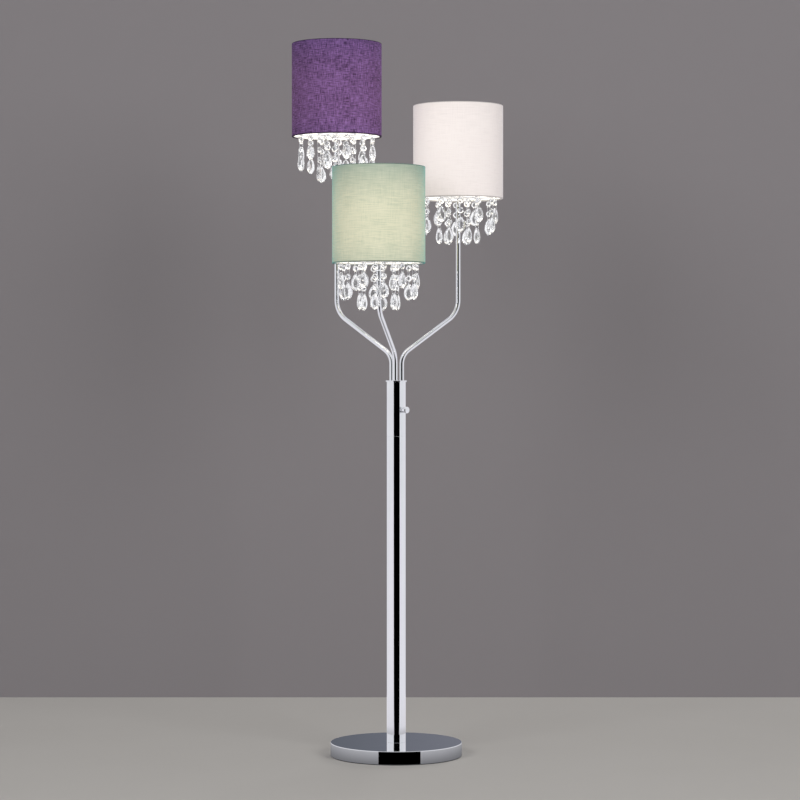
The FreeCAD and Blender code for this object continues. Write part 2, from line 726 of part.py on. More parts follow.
def bulb(head, x, y):
    seat = above_rim(head, BULB_SEAT)
    base = cylinder(f"{head}_bulb_base", "bulb_base_diameter / 2", "bulb_base_height", x, y, seat)
    neck = doc.addObject("Part::Cone", f"{head}_bulb_neck")
    bind(neck, Radius1="bulb_base_diameter / 2", Radius2="bulb_neck_top / 2",
         Height="bulb_neck_height")
    place(neck, x, y, f"{seat} + bulb_base_height")
    globe = doc.addObject("Part::Sphere", f"{head}_bulb_globe")
    bind(globe, Radius="bulb_diameter / 2")
    place(globe, x, y, f"{seat} + bulb_centre")
    return fuse(f"{head}_bulb", [base, neck, globe])


def clamp_ring(head, x, y):
    return ring(f"{head}_clamp_ring", "clamp_diameter / 2", f"{SKIRT} + clamp_clearance",
                "clamp_height", x, y, above_rim(head, f"{PLATE_UNDER} + frame_plate_thickness"))


def crystal_carrier(head, x, y):
    """A hub on the arm, two wire rings about it and three spokes that join them."""
    height = above_rim(head, "carrier_height")
    parts = [torus(f"{head}_carrier_outer", "outer_circle / 2", "carrier_wire / 2", x, y, height),
             torus(f"{head}_carrier_inner", "inner_circle / 2", "carrier_wire / 2", x, y, height),
             cylinder(f"{head}_carrier_hub", "carrier_hub / 2", "carrier_hub_height", x, y,
                      f"{height} - carrier_hub_height / 2")]
    for step in range(SPOKE_COUNT):
        turn = f"({head}_outer_angle + carrier_spoke_angle + {step} * 360 / {SPOKE_COUNT})"
        spoke = doc.addObject("Part::Cylinder", f"{head}_carrier_spoke_{step + 1}")
        bind(spoke, Radius="spoke_wire / 2", Height="outer_circle / 2")
        place(spoke, x, y, height)
        swing = FreeCAD.Rotation(Vector(0, 0, 1), size(turn) - 90)
        spoke.Placement.Rotation = swing.multiply(FreeCAD.Rotation(Vector(0, 1, 0), 90))
        parts.append(spoke)
    bore = cylinder(f"{head}_carrier_bore", ARM_HOLE, "carrier_hub_height", x, y,
                    f"{height} - carrier_hub_height / 2")
    return cut(f"{head}_carrier", fuse(f"{head}_carrier_wires", parts), bore)


for label, maker in (("socket_cups", socket_cup), ("lampholders", lampholder),
                     ("shade_clamp_rings", clamp_ring), ("bulbs", bulb),
                     ("crystal_carriers", crystal_carrier)):
    keep(group(label, [maker(head, *head_centre(head)) for head in HEADS]))

# ---------------------------------------------------------------- crystal strands
# A strand hangs from a point of the carrier's wire, and its own frame has that point as origin.
# Its stones face along +X, outwards, and its wire links are loops in the XZ plane.


def cut_stone(corners, centre, thickness):
    """A flat faceted stone: its outline is widest at the girdle and smaller at both tables."""
    girdle, table = size("stone_girdle") / 2, size("stone_table")
    layers = ((-thickness / 2, table), (-girdle, 1), (girdle, 1), (thickness / 2, table))
    loops = [[Vector(x, centre.y + (p.y - centre.y) * share, centre.z + (p.z - centre.z) * share)
              for p in corners] for x, share in layers]
    faces = [Part.Face(Part.makePolygon(loop + loop[:1])) for loop in (loops[0], loops[-1])]
    for lower, upper in zip(loops[:-1], loops[1:]):
        for i in range(len(corners)):
            j = (i + 1) % len(corners)
            quad = [lower[i], lower[j], upper[j], upper[i], lower[i]]
            faces.append(Part.Face(Part.makePolygon(quad)))
    stone = Part.makeSolid(Part.makeShell(faces))
    if stone.Volume < 0:
        stone.reverse()
    return stone


def stone_hole(height, thickness):
    radius = size("stone_hole") / 2
    return Part.makeCylinder(radius, thickness, Vector(-thickness / 2, 0, height), Vector(1, 0, 0))


def bead():
    """An octagonal bead about the origin, with a hole near its top and one near its foot."""
    side_turn = 2 * math.pi / BEAD_SIDES
    reach = size("bead_width") / 2 / math.cos(side_turn / 2)
    corners = [Vector(0, reach * math.cos((i + 0.5) * side_turn),
                      reach * math.sin((i + 0.5) * side_turn)) for i in range(BEAD_SIDES)]
    thickness = size("bead_thickness")
    stone = cut_stone(corners, Vector(0, 0, 0), thickness)
    hole = size("bead_width / 2 - bead_hole_inset")
    return stone.cut([stone_hole(hole, thickness), stone_hole(-hole, thickness)])


def drop():
    """A pear-shaped drop with its tip at the origin: a swelling belly and a round foot."""
    half_width, height = size("drop_width") / 2, size("drop_height")
    right = [Vector(0, half_width * across, -height * down) for down, across in DROP_CORNERS]
    left = [Vector(0, -corner.y, corner.z) for corner in reversed(right)]
    thickness = size("drop_thickness")
    stone = cut_stone(right + left, Vector(0, 0, -height * DROP_MIDDLE), thickness)
    return stone.cut(stone_hole(-size("drop_hole_inset"), thickness))


def wire_loop(top, bottom):
    """A closed link of round wire, a rectangle with round corners between two heights."""
    half = size("link_width") / 2
    r = size("link_corner")
    bulge = r * (1 - math.sqrt(0.5))
    corners = ((1, 1), (-1, 1), (-1, -1), (1, -1))
    edges = []
    last = Vector(half, 0, bottom + r)
    for side, up in corners:
        height = top if up > 0 else bottom
        steep = Vector(side * half, 0, height - up * r)
        flat = Vector(side * (half - r), 0, height)
        middle = Vector(side * (half - bulge), 0, height - up * bulge)
        begin, end = (steep, flat) if side * up > 0 else (flat, steep)
        edges.append(Part.LineSegment(last, begin).toShape())
        edges.append(Part.Arc(begin, middle, end).toShape())
        last = end
    section = Part.Wire(Part.Circle(Vector(half, 0, bottom + r), Vector(0, 0, 1),
                                    size("link_wire") / 2).toShape())
    return Part.Wire(edges).makePipeShell([section], True, False)


def strand(levels):
    """A hook, then beads and links one below the other, and the drop at the end."""
    hole = size("bead_width / 2 - bead_hole_inset")
    pitch = size("bead_pitch")
    first = -size("carrier_height + first_bead")
    solids = [wire_loop(size("carrier_wire / 2 + hook_clearance + link_wire / 2"), first + hole)]
    stone, pear = bead(), drop()
    for level in range(levels):
        centre = first - level * pitch
        solids.append(stone.translated(Vector(0, 0, centre)))
        below = centre - pitch + hole
        if level == levels - 1:
            below = centre - size("drop_below_bead + drop_hole_inset")
        solids.append(wire_loop(centre - hole, below))
    tip = first - (levels - 1) * pitch - size("drop_below_bead")
    solids.append(pear.translated(Vector(0, 0, tip)))
    return solids


STRANDS = {levels: strand(levels) for levels in (1, 2, 3)}


def strand_pair(label, levels, radius, middle, spread):
    """Two neighbouring strands of a circle, about a turn in the middle between them."""
    solids = []
    for side, count in zip((-1, 1), levels):
        turn = math.radians(middle + side * spread)
        spot = Vector(radius * math.sin(turn), -radius * math.cos(turn), 0)
        swing = FreeCAD.Rotation(Vector(0, 0, 1), math.degrees(turn) - 90)
        where = FreeCAD.Placement(spot, swing)
        for solid in STRANDS[count]:
            solids.append(solid.transformed(where.toMatrix(), True))
    pair = doc.addObject("Part::Feature", label)
    pair.Label = label
    pair.Shape = Part.makeCompound(solids)
    return pair


def hang_pairs(head, circle, count, levels, diameter):
    step = 360 / count
    spread = step / 4
    start = size(f"{head}_{circle}_angle")
    for index in range(count):
        pair = strand_pair(f"{head}_{circle}_strands_{index + 1}", levels, size(diameter) / 2,
                           start + spread + index * step, spread)
        x, y = head_centre(head)
        place(pair, x, y, above_rim(head, "carrier_height"))
        keep(pair)


for head in HEADS:
    hang_pairs(head, "outer", OUTER_PAIRS, OUTER_LEVELS, "outer_circle")
    hang_pairs(head, "inner", INNER_PAIRS, INNER_LEVELS, "inner_circle")

# ---------------------------------------------------------------- check and write

doc.recompute()
for thing in doc.Objects:
    if "Invalid" in thing.State or "Error" in thing.State:
        raise RuntimeError(f"{thing.Label} failed: {thing.State}")
for thing in sub_parts:
    if thing.Shape.isNull() or not thing.Shape.isValid():
        raise RuntimeError(f"{thing.Label} has no valid shape")

os.makedirs("parts", exist_ok=True)
for thing in sub_parts:
    thing.Shape.exportStep(f"parts/{thing.Label}.step")
    print(f"{thing.Label}: {len(thing.Shape.Solids)} solids, {thing.Shape.Volume / 1000:.2f} cm3")
print(len(sub_parts), "sub-parts")
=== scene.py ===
"""A tree floor lamp: a weighted chromed base, a chromed column, three bent arms, and on each arm a
drum shade with strands of cut crystal under it. Metres, +Z up, the front towards -Y."""

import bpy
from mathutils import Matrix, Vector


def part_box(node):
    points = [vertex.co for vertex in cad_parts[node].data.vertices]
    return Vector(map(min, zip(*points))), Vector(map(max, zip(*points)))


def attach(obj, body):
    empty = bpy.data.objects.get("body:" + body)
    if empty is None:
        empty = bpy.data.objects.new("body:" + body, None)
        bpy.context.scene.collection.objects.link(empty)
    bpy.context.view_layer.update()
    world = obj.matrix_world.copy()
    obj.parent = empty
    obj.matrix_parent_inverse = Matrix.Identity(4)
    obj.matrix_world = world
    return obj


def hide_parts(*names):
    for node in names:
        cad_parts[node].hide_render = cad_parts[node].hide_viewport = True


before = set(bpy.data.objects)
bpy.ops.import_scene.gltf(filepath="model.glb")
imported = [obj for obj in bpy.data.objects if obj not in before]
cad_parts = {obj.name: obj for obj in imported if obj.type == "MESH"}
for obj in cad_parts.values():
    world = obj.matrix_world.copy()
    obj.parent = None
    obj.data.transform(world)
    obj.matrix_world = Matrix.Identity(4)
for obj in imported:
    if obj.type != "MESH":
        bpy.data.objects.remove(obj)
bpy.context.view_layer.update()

import math

import bmesh
import bpy
import numpy as np
from mathutils import Vector

# ------------------------------------------------------------------------------- base cover
# The cover of the base is a disc of sheet steel with a straight turned-down wall. It is polished
# and chromed, and its top edge is rounded only a little, so that it shows as a thin bright line.


def rounded(corners, radii, steps=6):
    """A closed outline with round corners. Each corner becomes an arc that touches both of its
    sides: the arc's ends lie radius * tan(turn / 2) from the corner, its centre on the bisector."""
    corners = np.array(corners, float)
    places = []
    for index, radius in enumerate(radii):
        here = corners[index]
        back = corners[index - 1] - here
        ahead = corners[(index + 1) % len(corners)] - here
        back, ahead = back / np.linalg.norm(back), ahead / np.linalg.norm(ahead)
        half = math.acos(np.clip(back @ ahead, -1, 1)) / 2
        if radius <= 0:
            places.append(here[None])
            continue
        reach = radius / math.tan(half)
        centre = here + (back + ahead) / np.linalg.norm(back + ahead) * radius / math.sin(half)
        start, end = here + back * reach - centre, here + ahead * reach - centre
        turn = math.pi - 2 * half
        share = np.linspace(0, 1, steps + 1)[:, None]
        arc = (np.sin((1 - share) * turn) * start + np.sin(share * turn) * end) / math.sin(turn)
        # one more point on each side keeps the faces beside the arc flat when they are shaded
        apart = radius / 4
        places.append(np.vstack([here + back * (reach + apart), centre + arc,
                                 here + ahead * (reach + apart)]))
    return np.vstack(places)


smooth_under = 40


def skin(name, points, wrap_rows, wrap_columns, turn_out=True):
    """A mesh over a grid of points. Point [i, j] joins [i + 1, j] and [i, j + 1], and the last row
    or column joins the first one where it wraps. Points that meet are merged."""
    rows, columns = points.shape[:2]
    number = np.arange(rows * columns).reshape(rows, columns)
    if wrap_rows:
        number = np.vstack([number, number[:1]])
    if wrap_columns:
        number = np.hstack([number, number[:, :1]])
    faces = np.stack([number[:-1, :-1], number[:-1, 1:], number[1:, 1:], number[1:, :-1]], axis=-1)
    mesh = bpy.data.meshes.new(name)
    mesh.from_pydata(points.reshape(-1, 3).tolist(), [], faces.reshape(-1, 4).tolist())
    shell = bmesh.new()
    shell.from_mesh(mesh)
    bmesh.ops.remove_doubles(shell, verts=shell.verts, dist=1e-6)
    bmesh.ops.dissolve_degenerate(shell, edges=shell.edges, dist=1e-7)
    if turn_out:
        bmesh.ops.recalc_face_normals(shell, faces=shell.faces)
    shell.to_mesh(mesh)
    shell.free()
    mesh.shade_smooth()
    mesh.set_sharp_from_angle(angle=math.radians(smooth_under))
    return add_piece(name, mesh)


def add_piece(name, mesh):
    piece = bpy.data.objects.new(name, mesh)
    bpy.context.scene.collection.objects.link(piece)
    return piece


def lathe_points(profile, sides, centre=(0, 0, 0)):
    """A profile of (radius, height) turned about Z: x = r sin t, y = -r cos t, z = height."""
    turn = np.linspace(0, 2 * math.pi, sides, endpoint=False)
    radius, height = np.array(profile, float).T
    return np.stack([centre[0] + radius[:, None] * np.sin(turn),
                     centre[1] - radius[:, None] * np.cos(turn),
                     centre[2] + height[:, None] + 0 * turn], axis=-1)


def lathe(name, profile, sides=128, centre=(0, 0, 0)):
    return skin(name, lathe_points(profile, sides, centre), True, True)


class Tone:
    """One output of a node. A sum, difference, product or power of tones adds a Math node."""

    def __init__(self, finish, socket):
        self.finish, self.socket = finish, socket

    def maths(self, operation, *values):
        return self.finish.add("ShaderNodeMath", {"operation": operation}, dict(enumerate(values)))

    def __add__(self, other):
        return self.maths("ADD", self, other)

    def __sub__(self, other):
        return self.maths("SUBTRACT", self, other)

    def __rsub__(self, other):
        return self.maths("SUBTRACT", other, self)

    def __mul__(self, other):
        return self.maths("MULTIPLY", self, other)

    def __pow__(self, other):
        return self.maths("POWER", self, other)

    __radd__ = __add__
    __rmul__ = __mul__

    def between(self, low, high):
        """0 below the low end, 1 above the high end, and a straight climb between them."""
        ends = {"Value": self, "From Min": low, "From Max": high}
        return self.finish.add("ShaderNodeMapRange", {}, ends)


class Finish:
    """A material of the lamp. add() makes any node of it, and set() fills the shader's sockets."""

    def __init__(self, name, **sockets):
        self.material = bpy.data.materials.new(name)
        self.material.use_nodes = True
        self.tree = self.material.node_tree
        self.shader = self.tree.nodes["Principled BSDF"]
        self.set(**sockets)

    def add(self, kind, settings=None, inputs=None, out=0):
        node = self.tree.nodes.new(kind)
        for name, value in (settings or {}).items():
            if name == "stops":
                ramp = node.color_ramp
                while len(ramp.elements) < len(value):
                    ramp.elements.new(1)
                for element, (place, colour) in zip(ramp.elements, value):
                    element.position, element.color = place, colour
            else:
                setattr(node, name, value)
        for name, value in (inputs or {}).items():
            self.join(node.inputs[name], value)
        return Tone(self, node.outputs[out])

    def join(self, socket, value):
        if isinstance(value, Tone):
            self.tree.links.new(value.socket, socket)
        else:
            socket.default_value = value

    def set(self, **sockets):
        for name, value in sockets.items():
            self.join(self.shader.inputs[name.replace("_", " ")], value)

    def place(self):
        return self.add("ShaderNodeTexCoord", out="Object")

    def cloud(self, where, scale, detail=2.0, roughness=0.5):
        return self.add("ShaderNodeTexNoise", {}, {"Vector": where, "Scale": scale,
                                                   "Detail": detail, "Roughness": roughness})

    def blend(self, share, first, second):
        return self.add("ShaderNodeMix", {"data_type": "RGBA"}, {0: share, 6: first, 7: second},
                        out=2)

    def over(self, share, shader):
        """Lay another shader over what the material shows so far."""
        surface = self.tree.nodes["Material Output"].inputs["Surface"]
        below = Tone(self, surface.links[0].from_socket)
        both = self.add("ShaderNodeMixShader", {}, {0: share, 1: below, 2: shader})
        self.tree.links.new(both.socket, surface)

    def bump(self, height, depth, strength=1.0):
        self.set(Normal=self.add("ShaderNodeBump", {}, {"Height": height, "Distance": depth,
                                                        "Strength": strength}))


def wear(piece, finish, body):
    """Give a piece its finish, and let it move with a body."""
    piece.data.materials.clear()
    piece.data.materials.append(finish.material)
    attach(piece, body)
    return piece


# bright plate over polished steel: faint smears in the gloss and a very slight ripple
chrome = Finish("chrome_plate", Metallic=1.0)
spot = chrome.place()
smear = chrome.cloud(spot, 22.0, 3.0, 0.6)
dust = chrome.cloud(spot, 900.0, 1.0)
chrome.set(Base_Color=chrome.blend(smear, (0.80, 0.81, 0.84, 1), (0.88, 0.885, 0.90, 1)),
           Roughness=0.025 + 0.05 * smear * smear + 0.012 * dust)
chrome.bump(chrome.cloud(spot, 9.0, 1.0), 0.00002)

cover_low, cover_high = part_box("base_cover")
base_radius = cover_high.x
base_top = cover_high.z
cover_wall = 0.0015
rod_hole = 0.0051
# from the rod's hole out over the rim, down the wall, and back to the hole on the inside
cover_edges = [0.0002, 0.0012, 0.0004, 0.0004, 0.0006, 0.0002]
base_cover = lathe("base_cover_shell", rounded(
    [(rod_hole, base_top), (base_radius, base_top), (base_radius, cover_low.z),
     (base_radius - cover_wall, cover_low.z), (base_radius - cover_wall, base_top - cover_wall),
     (rod_hole, base_top - cover_wall)], cover_edges), sides=256)
wear(base_cover, chrome, "lamp")
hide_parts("base_cover")

# ------------------------------------------------------------------------------- base inside
# A disc of grey concrete fills the cover, and a black foam pad is stuck under it. The supply cord
# would enter at the rear, through a black nylon bushing in the wall of the cover.


def keep_node(name, finish):
    """A piece that keeps its own form and gets a finish."""
    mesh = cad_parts[name].data
    mesh.materials.clear()
    mesh.materials.append(finish.material)


concrete = Finish("cast_concrete")
spot = concrete.place()
grains = concrete.cloud(spot, 420.0, 5.0, 0.65)
concrete.set(Base_Color=concrete.blend(concrete.cloud(spot, 35.0), (0.30, 0.29, 0.28, 1),
                                       (0.47, 0.46, 0.44, 1)),
             Roughness=0.78 + 0.2 * grains)
concrete.bump(grains, 0.0006)
keep_node("base_weight", concrete)


def grained(name, grain, colours, gloss, depth=0.0, **sockets):
    """A finish with one fine cloud, whose scale, detail and sharpness the grain gives. The cloud
    picks between two colours, adds up to gloss[1] to a roughness of gloss[0], and lifts the
    surface by the depth."""
    finish = Finish(name, **sockets)
    cloud = finish.cloud(finish.place(), *grain)
    finish.set(Base_Color=finish.blend(cloud, *[(*colour, 1) for colour in colours]),
               Roughness=gloss[0] + gloss[1] * cloud)
    if depth:
        finish.bump(cloud, depth)
    return finish


keep_node("base_pad", grained(
    "black_foam", grain=(1400.0, 3.0), colours=[(0.012, 0.012, 0.013), (0.045, 0.045, 0.047)],
    gloss=(0.85, 0.1), depth=0.0003))
keep_node("cord_bushing", grained(
    "black_nylon", grain=(1800.0, 2.0), colours=[(0.014, 0.014, 0.015), (0.03, 0.03, 0.032)],
    gloss=(0.38, 0.15), depth=0.00005))

# ------------------------------------------------------------------------------- tie rod
# A hollow threaded rod of zinc-plated steel pulls the column down on the base. Its two flange
# nuts, the disc at the column's foot and the sleeve in the seam have the same plating.

zinc = grained(
    "zinc_plate", grain=(260.0, 4.0, 0.6), colours=[(0.50, 0.51, 0.50), (0.68, 0.67, 0.62)],
    gloss=(0.30, 0.22), depth=0.00008, Metallic=1.0)
for name in ("tie_rod", "tie_rod_nuts", "column_foot", "column_coupler", "arm_lock_nuts"):
    keep_node(name, zinc)

# ------------------------------------------------------------------------------- column
# Two lengths of chromed steel tube stand end to end on the base and meet in a fine seam, over a
# sleeve that the tie rod holds. Both ends of each tube are very slightly rounded by polishing.

column_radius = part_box("column_lower")[1].x
column_wall = 0.0012
column_bore = column_radius - column_wall
column_edge = 0.0003
for node in ("column_lower", "column_head"):
    low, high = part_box(node)
    tube = lathe(node + "_tube", rounded(
        [(column_radius, low.z), (column_radius, high.z), (column_bore, high.z),
         (column_bore, low.z)], [column_edge] * 4), sides=192)
    wear(tube, chrome, "lamp")
    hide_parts(node)

# ------------------------------------------------------------------------------- top cap
# A turned cap closes the column: its plug fits the tube, and its lip stands a little proud of it.
# The three arms stand in its holes. It is chromed with the rest.

cap_low, cap_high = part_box("top_cap")
cap_lip = 0.003
# the lip's upper and lower edge are rounded, and the plug's lower one
cap_edges = [0, 0.0008, 0.0004, 0, 0.0004, 0]
plug_clearance = 0.0001
cap_radius = cap_high.x
plug_radius = column_bore - plug_clearance
lip_under = cap_high.z - cap_lip
cap = lathe("top_cap_turned", rounded(
    [(0, cap_high.z), (cap_radius, cap_high.z), (cap_radius, lip_under), (plug_radius, lip_under),
     (plug_radius, cap_low.z), (0, cap_low.z)], cap_edges))
wear(cap, chrome, "lamp")
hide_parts("top_cap")

# ------------------------------------------------------------------------------- arms
# Each arm is one length of chromed tube, bent twice: it leaves the cap upright, leans outwards and
# stands upright again under its shade. A lock nut under the cap holds its threaded foot.

HEADS = ("front", "right", "left")
arm_turns = {"front": -15, "right": 113, "left": -116}
hole_turn = -9
hole_circle = 0.0258
arm_radius = 0.005
arm_wall = 0.001
arm_rise = 0.036
lower_bend = 0.038
upper_bend = 0.052
arm_slope = math.radians(55)
arm_reach = 0.1365
bend_steps = 25


def along(turn, reach=1.0):
    """X and Y of a point that lies at a turn from the front, at a reach from the axis."""
    return np.array([reach * math.sin(math.radians(turn)), -reach * math.cos(math.radians(turn))])


def arm_route(bottom, top):
    """Reach, height and lean of the arm's centre line. The lean grows from 0 to the slope over an
    arc of the lower bend, stays so along the slant, and falls to 0 again over an arc of the upper
    bend."""
    begin = cap_high.z + arm_rise
    lean = np.linspace(0, arm_slope, bend_steps)
    low_reach = lower_bend * (1 - np.cos(lean))
    low_height = begin + lower_bend * np.sin(lean)
    bends = (lower_bend + upper_bend) * (1 - math.cos(arm_slope))
    slant = (arm_reach - bends) / math.sin(arm_slope)
    high_start = low_height[-1] + slant * math.cos(arm_slope)
    back = lean[::-1]
    high_reach = arm_reach - upper_bend * (1 - np.cos(back))
    high_height = high_start + upper_bend * (math.sin(arm_slope) - np.sin(back))
    reach = np.concatenate([[0], low_reach, high_reach, [arm_reach]])
    height = np.concatenate([[bottom], low_height, high_height, [top]])
    return reach, height, np.concatenate([[0], lean, back, [0]])


def sweep_points(route, foot, turn, radius, sides=40):
    """A circle carried along the route: across the lean it opens in the arm's plane, and sideways
    at right angles to it."""
    reach, height, lean = route
    angle = np.linspace(0, 2 * math.pi, sides, endpoint=False)
    out = reach[:, None] + radius * np.cos(lean)[:, None] * np.cos(angle)
    up = height[:, None] - radius * np.sin(lean)[:, None] * np.cos(angle)
    side = radius * np.sin(angle) + 0 * reach[:, None]
    ahead, across = along(turn), along(turn + 90)
    return np.stack([foot[0] + out * ahead[0] + side * across[0],
                     foot[1] + out * ahead[1] + side * across[1], up], axis=-1)


centres = {}
for step, head in enumerate(HEADS):
    low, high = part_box(head + "_arm")
    foot = along(hole_turn + step * 120, hole_circle / 2)
    centres[head] = foot + along(arm_turns[head], arm_reach)
    route = arm_route(low.z, high.z)
    outside = sweep_points(route, foot, arm_turns[head], arm_radius)
    inside = sweep_points(route, foot, arm_turns[head], arm_radius - arm_wall)
    arm = skin(head + "_arm_tube", np.concatenate([outside, inside[::-1]]), True, True)
    wear(arm, chrome, "lamp")
    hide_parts(head + "_arm")

# ------------------------------------------------------------------------------- switch
# A rotary switch sits in the column: a black moulded body inside, a chromed ring nut outside, and
# a chromed knob on its spindle, with a slim stem, a groove and a wider domed head.

switch_turn = 40
switch_height = (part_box("switch_ring_nut")[0].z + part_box("switch_ring_nut")[1].z) / 2


def turned_sideways(name, profile, sides=64):
    """A profile of (radius, reach) turned about the switch's level axis."""
    points = lathe_points(profile, sides)
    around, depth, reach = points[..., 0], points[..., 1], points[..., 2]
    ahead, across = along(switch_turn), along(switch_turn + 90)
    return skin(name, np.stack([ahead[0] * reach + across[0] * around,
                                ahead[1] * reach + across[1] * around,
                                switch_height + depth], axis=-1), True, True)


nut_reach = column_radius
nut_radius = 0.0062
nut_thickness = 0.0034
# the bore's and the rim's edge at the back, then the rim's and the bore's in front
nut_edges = [0.0001, 0.0003, 0.0008, 0.0003]
neck_radius = 0.00455
neck_reach = 0.004
ring_nut = turned_sideways("switch_collar", rounded(
    [(neck_radius, nut_reach), (nut_radius, nut_reach), (nut_radius, nut_reach + nut_thickness),
     (neck_radius, nut_reach + nut_thickness)], nut_edges))
wear(ring_nut, chrome, "lamp")
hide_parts("switch_ring_nut")

knob_gap = 0.0004
knob_edge = 0.0004
spindle_radius = 0.003
spindle_depth = 0.013
spindle_start = column_radius + neck_reach - spindle_depth + knob_gap
stem_start = column_radius + neck_reach + knob_gap
stem_end = stem_start + 0.009
stem_radius = 0.0062
groove_depth = 0.0007
groove_start = stem_end - 0.001
head_radius = 0.0075
head_rim = 0.002
head_dome = 0.0018
head_bevel = 0.0003
bevel_radius = head_radius * 0.98
dome_radius = head_radius * 0.93
rim_end = stem_end + head_rim
dome_share = np.linspace(0, 1, 9)[1:]
dome = np.stack([dome_radius * np.cos(dome_share * math.pi / 2),
                 rim_end + head_dome * np.sin(dome_share * math.pi / 2)], axis=-1)
knob_profile = np.vstack([
    [(0, spindle_start), (spindle_radius, spindle_start), (spindle_radius, stem_start)],
    [(stem_radius - knob_edge, stem_start), (stem_radius, stem_start + knob_edge)],
    [(stem_radius, groove_start - knob_edge), (stem_radius - groove_depth, groove_start)],
    [(stem_radius - groove_depth, stem_end), (head_radius - knob_edge, stem_end)],
    [(head_radius, stem_end + knob_edge), (head_radius, rim_end - head_bevel)],
    [(bevel_radius, rim_end)], dome])
knob = turned_sideways("switch_knob_turned", knob_profile)
wear(knob, chrome, "knob")
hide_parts("switch_knob")

phenolic = Finish("switch_moulding", Roughness=0.35)
mottle = phenolic.cloud(phenolic.place(), 300.0, 2.0)
phenolic.set(Base_Color=phenolic.blend(mottle, (0.03, 0.028, 0.026, 1), (0.06, 0.056, 0.05, 1)))
keep_node("switch_body", phenolic)

keep_node("inner_wiring", grained(
    "cable_sheath", grain=(60.0, 2.0), colours=[(0.62, 0.62, 0.60), (0.75, 0.75, 0.73)],
    gloss=(0.42, 0.2)))

# ------------------------------------------------------------------------------- shade fabric
# Each drum is a strip of woven cloth stretched round two wire rings: its long edges are turned
# under the rings, and its ends lap at the rear. A purple slubbed linen, a green and a white one.

shade_radius = 0.1
shade_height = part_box("front_shade_fabric")[1].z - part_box("front_shade_fabric")[0].z
cloth_thickness = 0.0006
ring_wire = 0.0015
ring_radius = 0.0971
lap = 0.008
lap_step = 0.00075
hem_clearance = 0.0004
hem_corner = 0.0008
# where the hem starts, in degrees round the wire's section
hem_start = 240
wall_start = 0.004
# the lap steps out over a short turn that ends just before it meets its own start, in radians
lap_climb = 0.05
lap_lead = 0.06
# the cloth's UV map is in decimetres
map_scale = 10


def cloth_profile():
    """Radius and height of the strip's middle, and the number of its point at the wall's foot. The
    strip starts under the lower wire, goes round the corner and up the wall, and ends over the
    upper wire in the same way, upside down."""
    wrap = np.radians(np.linspace(hem_start, 270, 5))
    around = ring_wire + hem_clearance
    wire = np.stack([ring_radius + around * np.cos(wrap), ring_wire + around * np.sin(wrap)], -1)
    wall = shade_radius - cloth_thickness / 2
    centre = np.array([wall - hem_corner, ring_wire - around + hem_corner])
    turn = np.radians(np.linspace(270, 360, 6))
    bend = centre + hem_corner * np.stack([np.cos(turn), np.sin(turn)], -1)
    bottom = np.vstack([wire, bend])
    rise = np.linspace(wall_start, shade_height / 2, 8)
    half = np.vstack([bottom, np.stack([wall + 0 * rise, rise], -1)])
    top = half[::-1].copy()[1:]
    top[:, 1] = shade_height - top[:, 1]
    return np.vstack([half, top]), len(bottom) - 1


def drum_cloth(head):
    """The profile carried once round the drum from the rear and on over its own start by the lap,
    where it steps outwards. Its UV map gives the place on the flat strip, in decimetres from the
    wall's foot."""
    profile, foot = cloth_profile()
    run = np.concatenate([[0], np.cumsum(np.linalg.norm(np.diff(profile, axis=0), axis=1))])
    turn = np.concatenate([np.linspace(0, 2 * math.pi, 193),
                           2 * math.pi + np.linspace(0, lap / shade_radius, 5)[1:]])
    step_out = lap_step * np.clip((turn - 2 * math.pi + lap_lead) / lap_climb, 0, 1)
    radius = profile[:, :1] + step_out
    x, y = centres[head]
    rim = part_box(head + "_shade_fabric")[0].z
    rear = math.pi - lap / shade_radius / 2
    points = np.stack([x + radius * np.sin(turn + rear), y - radius * np.cos(turn + rear),
                       rim + profile[:, 1:] + 0 * turn], axis=-1)
    rows, columns = points.shape[:2]
    number = np.arange(rows * columns).reshape(rows, columns)
    faces = np.stack([number[:-1, :-1], number[:-1, 1:], number[1:, 1:], number[1:, :-1]], -1)
    mesh = bpy.data.meshes.new(head + "_cloth")
    mesh.from_pydata(points.reshape(-1, 3).tolist(), [], faces.reshape(-1, 4).tolist())
    flat = map_scale * np.stack([shade_radius * turn + 0 * run[:, None],
                                 run[:, None] - run[foot] + 0 * turn], -1)
    corners = np.zeros(len(mesh.loops), int)
    mesh.loops.foreach_get("vertex_index", corners)
    uv = mesh.uv_layers.new(name="strip")
    uv.data.foreach_set("uv", flat.reshape(-1, 2)[corners].ravel())
    mesh.shade_smooth()
    cloth = add_piece(head + "_cloth", mesh)
    wall = cloth.modifiers.new("thickness", "SOLIDIFY")
    wall.thickness, wall.offset = cloth_thickness, 0
    return cloth, (shade_radius * turn[-1], run[-1])


